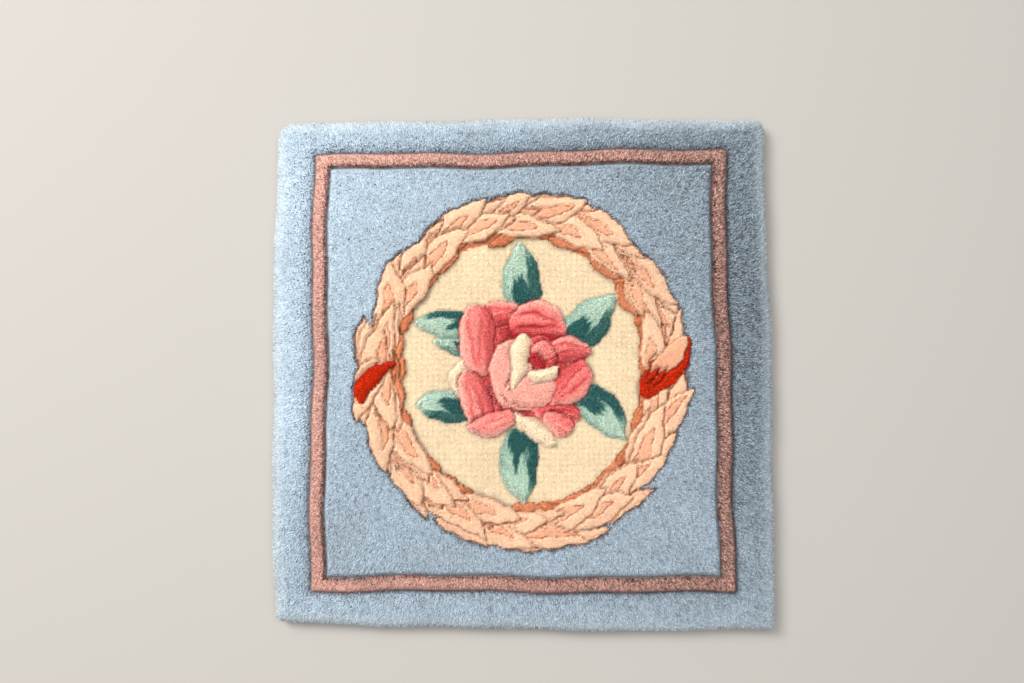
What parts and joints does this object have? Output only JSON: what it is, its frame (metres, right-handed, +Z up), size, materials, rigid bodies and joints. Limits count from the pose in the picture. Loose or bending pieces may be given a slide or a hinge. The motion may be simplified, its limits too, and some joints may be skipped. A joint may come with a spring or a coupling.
{
  "type": "carved chinese rug",
  "caption": "Small square wool rug lying flat, with a blue field, a mauve border stripe and a carved rose in a leaf wreath.",
  "frame": {"origin": "on the floor, under the middle of the rug's box", "axes": "+Z up out of the pile, +X across the rug to the right of the rose, +Y toward the top of the rose"},
  "size_m": [0.3084, 0.3166, 0.0168],
  "materials": {
    "blue_wool": "matte cut wool pile",
    "mauve_wool": "matte cut wool pile",
    "peach_wool": "matte cut wool pile",
    "red_wool": "matte cut wool pile",
    "cream_wool": "matte low-sheared wool pile",
    "rose_wool": "matte cut wool pile",
    "green_wool": "matte cut wool pile"
  },
  "bodies": {
    "root": {"rug": "blue_wool"}
  },
  "joints": []
}
